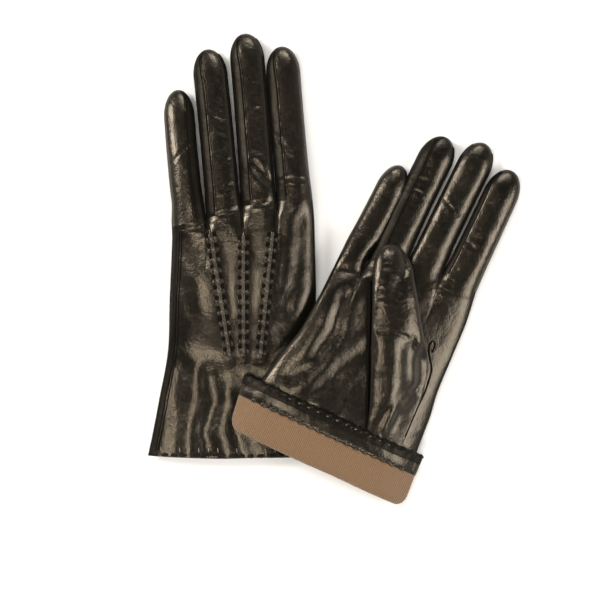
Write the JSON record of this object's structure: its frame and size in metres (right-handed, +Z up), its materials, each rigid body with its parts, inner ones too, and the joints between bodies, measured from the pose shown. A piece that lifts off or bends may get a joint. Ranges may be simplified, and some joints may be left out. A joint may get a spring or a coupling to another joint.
{
  "type": "pair of dress gloves",
  "caption": "Pair of lined leather dress gloves laid flat: one palm down, the other palm up across its cuff with the knitted lining turned out.",
  "frame": {"origin": "centre of the pair's footprint, on the surface it lies on", "axes": "+Z up; +Y from the left glove's cuff to its fingertips; +X from the left glove to the right one"},
  "size_m": [0.2234, 0.2848, 0.0265],
  "materials": {
    "nappa_leather": "smooth nappa, soft sheen",
    "gusset_leather": "smooth nappa, soft sheen",
    "knit_lining": "fine ribbed knit, matt",
    "stitch_thread": "twisted thread",
    "point_lacing": "glossy laced leather"
  },
  "bodies": {
    "left_hand": {"left_hand_back": "nappa_leather", "left_hand_palm": "nappa_leather", "left_fourchette_index_middle": "gusset_leather", "left_fourchette_middle_ring": "gusset_leather", "left_fourchette_ring_little": "gusset_leather", "left_hand_lining": "knit_lining", "left_hem_facing": "nappa_leather", "left_points": "point_lacing", "left_hem_stitches": "stitch_thread", "left_little_knuckle": "nappa_leather", "left_ring_knuckle": "nappa_leather", "left_middle_knuckle": "nappa_leather", "left_index_knuckle": "nappa_leather"},
    "left_little": {"left_little_sheath": "nappa_leather", "left_little_gussets": "gusset_leather", "left_little_lining": "knit_lining"},
    "left_ring": {"left_ring_sheath": "nappa_leather", "left_ring_gussets": "gusset_leather", "left_ring_lining": "knit_lining"},
    "left_middle": {"left_middle_sheath": "nappa_leather", "left_middle_gussets": "gusset_leather", "left_middle_lining": "knit_lining"},
    "left_index": {"left_index_sheath": "nappa_leather", "left_index_gussets": "gusset_leather", "left_index_lining": "knit_lining"},
    "left_thumb": {"left_thumb_leather": "nappa_leather", "left_thumb_lining": "knit_lining"},
    "right_hand": {"right_hand_back": "nappa_leather", "right_hand_palm": "nappa_leather", "right_fourchette_index_middle": "gusset_leather", "right_fourchette_middle_ring": "gusset_leather", "right_fourchette_ring_little": "gusset_leather", "right_hand_lining": "knit_lining", "right_hem_facing": "nappa_leather", "right_points": "point_lacing", "right_hem_stitches": "stitch_thread", "right_little_knuckle": "nappa_leather", "right_ring_knuckle": "nappa_leather", "right_middle_knuckle": "nappa_leather", "right_index_knuckle": "nappa_leather", "right_turnup_leather": "nappa_leather", "right_turnup_lining": "knit_lining"},
    "right_little": {"right_little_sheath": "nappa_leather", "right_little_gussets": "gusset_leather", "right_little_lining": "knit_lining"},
    "right_ring": {"right_ring_sheath": "nappa_leather", "right_ring_gussets": "gusset_leather", "right_ring_lining": "knit_lining"},
    "right_middle": {"right_middle_sheath": "nappa_leather", "right_middle_gussets": "gusset_leather", "right_middle_lining": "knit_lining"},
    "right_index": {"right_index_sheath": "nappa_leather", "right_index_gussets": "gusset_leather", "right_index_lining": "knit_lining"},
    "right_thumb": {"right_thumb_leather": "nappa_leather", "right_thumb_lining": "knit_lining"}
  },
  "joints": [
    {"name": "left_little_flex", "type": "hinge", "parent": "left_hand", "child": "left_little", "pos_m": [-0.09175, 0.07072, 0.01067], "axis": [0.995, 0.0938, 0.034], "range_deg": [0, 70], "deforming": ["left_little_knuckle"]},
    {"name": "left_ring_flex", "type": "hinge", "parent": "left_hand", "child": "left_ring", "pos_m": [-0.0729, 0.0889, 0.00883], "axis": [0.995, 0.0995, -0.0083], "range_deg": [0, 70], "deforming": ["left_ring_knuckle"]},
    {"name": "left_middle_flex", "type": "hinge", "parent": "left_hand", "child": "left_middle", "pos_m": [-0.0509, 0.09281, 0.00841], "axis": [0.9967, 0.0803, -0.0088], "range_deg": [0, 70], "deforming": ["left_middle_knuckle"]},
    {"name": "left_index_flex", "type": "hinge", "parent": "left_hand", "child": "left_index", "pos_m": [-0.02882, 0.08681, 0.00899], "axis": [0.9961, 0.085, -0.0216], "range_deg": [0, 70], "deforming": ["left_index_knuckle"]},
    {"name": "left_thumb_swing", "type": "hinge", "parent": "left_hand", "child": "left_thumb", "pos_m": [-0.0365, -0.01606, 0.00509], "axis": [0, 0, -1], "range_deg": [0, 18]},
    {"name": "right_little_flex", "type": "hinge", "parent": "right_hand", "child": "right_little", "pos_m": [0.02327, 0.03463, 0.0083], "axis": [0.9061, -0.4225, -0.0188], "range_deg": [0, 70], "deforming": ["right_little_knuckle"]},
    {"name": "right_ring_flex", "type": "hinge", "parent": "right_hand", "child": "right_ring", "pos_m": [0.04778, 0.0413, 0.00665], "axis": [0.9011, -0.4333, -0.0119], "range_deg": [0, 70], "deforming": ["right_ring_knuckle"]},
    {"name": "right_middle_flex", "type": "hinge", "parent": "right_hand", "child": "right_middle", "pos_m": [0.07054, 0.03702, 0.00616], "axis": [0.8977, -0.4405, -0.0097], "range_deg": [0, 70], "deforming": ["right_middle_knuckle"]},
    {"name": "right_index_flex", "type": "hinge", "parent": "right_hand", "child": "right_index", "pos_m": [0.08908, 0.02409, 0.00595], "axis": [0.905, -0.425, -0.021], "range_deg": [0, 70], "deforming": ["right_index_knuckle"]},
    {"name": "right_thumb_lift", "type": "hinge", "parent": "right_hand", "child": "right_thumb", "pos_m": [0.03898, -0.092, 0.01551], "axis": [0.9776, 0.05, -0.2045], "range_deg": [0, 45]},
    {"name": "right_glove_lift", "type": "slide", "parent": "left_hand", "child": "right_hand", "axis": [0, 0, 1], "range_m": [0, 0.12]}
  ]
}
